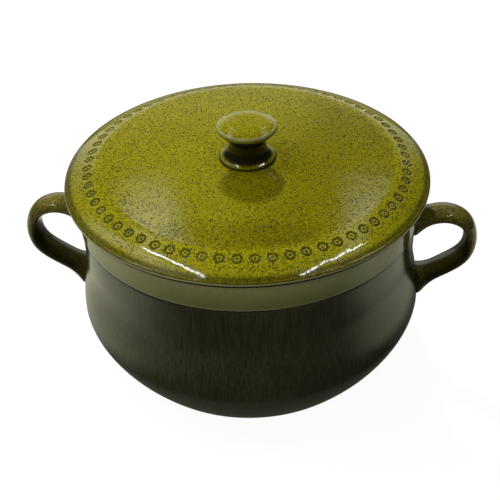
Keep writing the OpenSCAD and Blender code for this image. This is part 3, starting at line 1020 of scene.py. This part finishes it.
def place_camera(scene, stage):
    """A camera on the front, above the dish, looking down at it."""
    azimuth = math.radians(stage.camera_azimuth)
    elevation = math.radians(stage.camera_elevation)
    roll = math.radians(stage.camera_roll)
    back = Vector((math.sin(azimuth) * math.cos(elevation),
                   -math.cos(azimuth) * math.cos(elevation), math.sin(elevation)))
    right = Vector((math.cos(azimuth), math.sin(azimuth), 0.0))
    up = back.cross(right)
    place = Vector((0.0, 0.0, stage.aim_height)) + right * stage.aim_right + back * stage.camera_distance
    turned_right = right * math.cos(roll) + up * math.sin(roll)
    turned_up = up * math.cos(roll) - right * math.sin(roll)
    data = bpy.data.cameras.new("camera")
    data.sensor_width = SENSOR
    data.lens = LENS
    data.shift_x, data.shift_y = SHIFT
    camera = bpy.data.objects.new("camera", data)
    axes = Matrix((turned_right, turned_up, back)).transposed().to_4x4()
    camera.matrix_world = Matrix.Translation(place) @ axes
    scene.collection.objects.link(camera)
    scene.camera = camera


FLOOR_HALF = 4.0
FLOOR_GLOW = 0.95
MIRRORED_TINT = (1.0, 1.0, 0.68)
# Where the mirrored glow of the floor begins and is full: to the left, to the
# right, near the dish and, for both sides, towards the back
LEFT_FLOOR, LEFT_FRONT, LEFT_FLOOR_GLOW = (-0.10, -0.17), (-0.24, -0.06), 0.62
RIGHT_FLOOR, RIGHT_FRONT, RIGHT_FLOOR_GLOW = (0.15, 0.20), (-0.18, -0.06), 0.60
NEAR_FLOOR, NEAR_FLOOR_GLOW = (0.15, 0.115), 0.06
FLOOR_BACK = (0.35, 0.15)


def lay_floor(stage):
    """A plain pale floor that renders white but keeps the dish's shadow."""
    mesh = bpy.data.meshes.new("floor")
    corners = [(x * FLOOR_HALF, y * FLOOR_HALF, 0.0) for x, y in ((-1, -1), (1, -1), (1, 1), (-1, 1))]
    mesh.from_pydata(corners, [], [(0, 1, 2, 3)])
    floor = new_piece("floor", mesh)
    material = bpy.data.materials.new("pale_floor")
    g = fresh_graph(material)
    tone = (stage.floor_tone,) * 3 + (1.0,)
    matt = g.add("ShaderNodeBsdfDiffuse", {"Color": tone}).outputs[0]
    ray = g.add("ShaderNodeLightPath").outputs
    x, y, _ = g.parts(g.add("ShaderNodeTexCoord").outputs["Object"])
    left = g.product(g.mark(x, LEFT_FLOOR), g.mark(y, LEFT_FRONT), LEFT_FLOOR_GLOW)
    right = g.product(g.mark(x, RIGHT_FLOOR), g.mark(y, RIGHT_FRONT))
    near = g.product(g.mark(g.hypot(x, y), NEAR_FLOOR), NEAR_FLOOR_GLOW)
    sides = g.product(g.math('MULTIPLY_ADD', right, RIGHT_FLOOR_GLOW, left), g.mark(y, FLOOR_BACK))
    mirrored = g.math('MAXIMUM', sides, near)
    strength = g.math('MULTIPLY_ADD', ray["Is Glossy Ray"], mirrored,
                      g.product(ray["Is Camera Ray"], FLOOR_GLOW))
    tint = g.blend(ray["Is Glossy Ray"], (1.0, 1.0, 1.0), MIRRORED_TINT)
    glow = g.add("ShaderNodeEmission", {"Color": tint, "Strength": strength}).outputs[0]
    both = g.add("ShaderNodeAddShader", {0: matt, 1: glow}).outputs[0]
    g.add("ShaderNodeOutputMaterial", {"Surface": both})
    mesh.materials.append(material)


WALL_GLOW = 0.75
ROOM_GLOW = 0.03
# The wall's end towards the front, its sides and its top, as parts of a unit
# direction, and how far it is shifted to the left
WALL_NEAR, WALL_SIDES, WALL_TOP = (0.0, 0.3), (0.64, 0.30), (0.54, 0.30)
WALL_LEFT = 0.12
# How soft a card's edge is, as shares of its half width from outside to inside
CARD_EDGE = (1.5, 0.3)

# Soft cards that the glaze mirrors, each with the azimuth from +Y towards +X and
# the elevation of its two ends in degrees, its half width and its glow
SOFT_CARDS = (
    ((-14.5, 36), (-14.5, 41), 0.034, 1.5),
    ((-30, 49), (-62, 59), 0.060, 1.3),
    ((5, 36), (6, 41), 0.032, 1.3),
    ((20, 49), (52, 58), 0.060, 1.3),
    ((-58, 38), (-84, 66), 0.045, 1.5),
)


def heading(azimuth, elevation):
    """The unit vector of a direction, azimuth from +Y towards +X."""
    azimuth, elevation = math.radians(azimuth), math.radians(elevation)
    return Vector((math.sin(azimuth) * math.cos(elevation),
                   math.cos(azimuth) * math.cos(elevation), math.sin(elevation)))


def soft_card(g, way, start, end, half_width, glow):
    """The glow of a soft-edged card between two directions."""
    first, last = heading(*start), heading(*end)
    middle = (first + last).normalized()
    along = (last - first).normalized()
    half_length = (last - first).length / 2 + half_width

    def reach(axis, half):
        """1 within half of the card's middle along an axis, and 0 well outside."""
        across = g.add("ShaderNodeVectorMath", {0: way, 1: axis}, operation='DOT_PRODUCT')
        off = g.math('ABSOLUTE', g.math('SUBTRACT', across.outputs["Value"], middle.dot(axis)))
        return g.step(off, half * CARD_EDGE[0], half * CARD_EDGE[1])

    facing = g.add("ShaderNodeVectorMath", {0: way, 1: middle}, operation='DOT_PRODUCT')
    front = g.math('GREATER_THAN', facing.outputs["Value"], 0.0)
    return g.product(reach(along, half_length), reach(along.cross(middle), half_width), front, glow)


def paint_surroundings(scene):
    """White to the camera; to the dish, a pale wall behind and beside it and a dim room elsewhere."""
    world = bpy.data.worlds.new("surroundings")
    g = fresh_graph(world)
    scene.world = world
    way = g.add("ShaderNodeTexCoord").outputs["Generated"]
    x, y, z = g.parts(way)
    aside = g.math('ABSOLUTE', g.math('ADD', x, WALL_LEFT))
    wall = g.product(g.mark(y, WALL_NEAR), g.mark(aside, WALL_SIDES), g.mark(z, WALL_TOP))
    strength = g.math('MULTIPLY_ADD', wall, WALL_GLOW, ROOM_GLOW)
    for card in SOFT_CARDS:
        strength = g.math('ADD', strength, soft_card(g, way, *card))
    seen = g.add("ShaderNodeLightPath").outputs["Is Camera Ray"]
    shown = g.math('MAXIMUM', strength, seen)
    lit = g.add("ShaderNodeBackground", {"Color": (1.0, 1.0, 1.0, 1.0), "Strength": shown}).outputs[0]
    g.add("ShaderNodeOutputWorld", {"Surface": lit})


LEFT_STRIP = ((-0.76, 0.29, 1.34), (-0.31, -0.15, 1.34))
RIGHT_STRIP = ((0.765, 0.38, 1.34), (0.34, -0.105, 1.34))
STRIP_WIDTH = 0.012
# The lamps that only light: where they hang, how wide they are and what sets their power
LAMPS = (
    ("overhead", (0.0, 0.35, 1.6), 1.2, "top_power"),
    ("behind", (-0.22, 1.28, 1.08), 0.14, "back_power"),
    ("beside", (-0.85, -0.05, 1.0), 0.45, "side_power"),
    ("before", (-0.25, -1.1, 0.80), 0.8, "front_power"),
)


def hang(name, place, axes, power, **settings):
    """An area lamp at a place, turned to three axes."""
    data = bpy.data.lights.new(name, 'AREA')
    for setting, value in settings.items():
        setattr(data, setting, value)
    data.energy = power
    lamp = bpy.data.objects.new(name, data)
    lamp.matrix_world = Matrix.Translation(place) @ axes
    bpy.context.scene.collection.objects.link(lamp)
    return lamp


def hang_strip(name, ends, power):
    """A long thin softbox between two points over the dish."""
    start, end = (Vector(p) for p in ends)
    middle = (start + end) / 2
    along = (end - start).normalized()
    away = middle - Vector((0.0, 0.0, LID_HIGH.z))
    away = (away - along * away.dot(along)).normalized()
    axes = Matrix((along, away.cross(along), away)).transposed().to_4x4()
    hang(name, middle, axes, power, shape='RECTANGLE', size=(end - start).length, size_y=STRIP_WIDTH)


def hang_lamps(stage):
    """Two strip softboxes that draw the highlights, and four lamps that only light."""
    hang_strip("left_strip", LEFT_STRIP, stage.strip_power)
    hang_strip("right_strip", RIGHT_STRIP, stage.strip_power)
    for name, place, size, power in LAMPS:
        hang_disc(name, place, size, getattr(stage, power))


def hang_disc(name, place, size, power):
    """A round lamp that faces the lid and isn't mirrored in the glaze."""
    away = Vector(place) - Vector((0.0, 0.0, LID_HIGH.z))
    axes = away.to_track_quat('Z', 'Y').to_matrix().to_4x4()
    hang(name, place, axes, power, shape='DISK', size=size).visible_glossy = False


class CASSEROLE_OT_pot(bpy.types.Operator):
    """Turn the pot from its outline"""
    bl_idname = "casserole.pot"
    bl_label = "Pot"

    def execute(self, context):
        pot = context.scene.casserole_pot
        glaze_here = pot_glaze(context.scene.casserole_colours, pot)
        dressed(turned_piece("pot", pot_outline(pot), pot.segments, glaze_here),
                "pot", "pot_glaze", "pot_body")
        return {'FINISHED'}


class CASSEROLE_OT_handles(bpy.types.Operator):
    """Pull the two handles and join them to the wall"""
    bl_idname = "casserole.handles"
    bl_label = "Handles"

    def execute(self, context):
        pot, handle = context.scene.casserole_pot, context.scene.casserole_handles
        glaze_here = handle_glaze(context.scene.casserole_colours, pot, handle)
        for node, side in (("left_handle", -1), ("right_handle", 1)):
            piece = strap_piece(node + "_strap", side, pot, handle)
            grown(piece, shared_tree("Pulled strap", strap_tree), Width=handle.width,
                  Thickness=handle.thickness, Sides=handle.sides, Material=glaze_here)
            dressed(finished(seated(piece, pot)), "pot", "handle_glaze", node)
        return {'FINISHED'}


# Half the width over which the roll's slope is measured
SLOPE_HALF = 0.001


class CASSEROLE_OT_lid(bpy.types.Operator):
    """Turn the lid and press the ring of stamps into it"""
    bl_idname = "casserole.lid"
    bl_label = "Lid"

    def execute(self, context):
        scene = context.scene
        lid, pot, stamps = scene.casserole_lid, scene.casserole_pot, scene.casserole_stamps
        glaze_here = lid_glaze(scene.casserole_colours, lid, scene.casserole_knob, pot)
        ring = lid.radius - stamps.inset
        fall = lid_surface(lid, ring - SLOPE_HALF) - lid_surface(lid, ring + SLOPE_HALF)
        slope = math.atan2(fall, 2 * SLOPE_HALF)
        piece = new_piece("lid_cover", ringed_mesh("lid_cover", lid_rows(lid, pot, stamps)))
        grown(piece, stamp_tree(), Stamps=stamps.stamps, Ring_Radius=ring, Slope=slope,
              Stamp_Radius=stamps.radius, Depth=stamps.depth, Petals=stamps.petals,
              Unevenness=stamps.unevenness, Seed=stamps.seed, Material=glaze_here)
        dressed(finished(piece), "lid", "lid_glaze", "lid")
        return {'FINISHED'}


class CASSEROLE_OT_knob(bpy.types.Operator):
    """Turn the knob from its outline"""
    bl_idname = "casserole.knob"
    bl_label = "Knob"

    def execute(self, context):
        knob = context.scene.casserole_knob
        glaze_here = knob_glaze(context.scene.casserole_colours, knob)
        dressed(turned_piece("knob", knob_outline(knob), knob.segments, glaze_here),
                "lid", "knob_glaze", "lid_knob")
        return {'FINISHED'}


class CASSEROLE_PT_panel(bpy.types.Panel):
    """Lists the steps that make the dish, and their sizes"""
    bl_idname = "CASSEROLE_PT_panel"
    bl_label = "Casserole Dish"
    bl_space_type = 'VIEW_3D'
    bl_region_type = 'UI'
    bl_category = "Casserole"

    def draw(self, context):
        for operator in OPERATORS:
            self.layout.operator(operator.bl_idname)
        for name in SETTINGS:
            group = getattr(context.scene, name)
            box = self.layout.box()
            for field in group.bl_rna.properties:
                if not field.is_readonly and field.identifier != "name":
                    box.prop(group, field.identifier)


SETTINGS = {
    "casserole_pot": PotSizes,
    "casserole_handles": HandleSizes,
    "casserole_lid": LidSizes,
    "casserole_stamps": StampSizes,
    "casserole_knob": KnobSizes,
    "casserole_colours": GlazeColours,
    "casserole_stage": StageSettings,
}
OPERATORS = (CASSEROLE_OT_stage, CASSEROLE_OT_pot, CASSEROLE_OT_handles, CASSEROLE_OT_lid,
             CASSEROLE_OT_knob)


def register():
    for group in SETTINGS.values():
        bpy.utils.register_class(group)
    for name, group in SETTINGS.items():
        setattr(bpy.types.Scene, name, PointerProperty(type=group))
    for operator in OPERATORS:
        bpy.utils.register_class(operator)
    bpy.utils.register_class(CASSEROLE_PT_panel)


def unregister():
    bpy.utils.unregister_class(CASSEROLE_PT_panel)
    for operator in reversed(OPERATORS):
        bpy.utils.unregister_class(operator)
    for name, group in SETTINGS.items():
        delattr(bpy.types.Scene, name)
        bpy.utils.unregister_class(group)


def main():
    register()
    bpy.ops.casserole.stage()
    bpy.ops.casserole.pot()
    bpy.ops.casserole.handles()
    bpy.ops.casserole.lid()
    bpy.ops.casserole.knob()


if __name__ == "__main__":
    main()
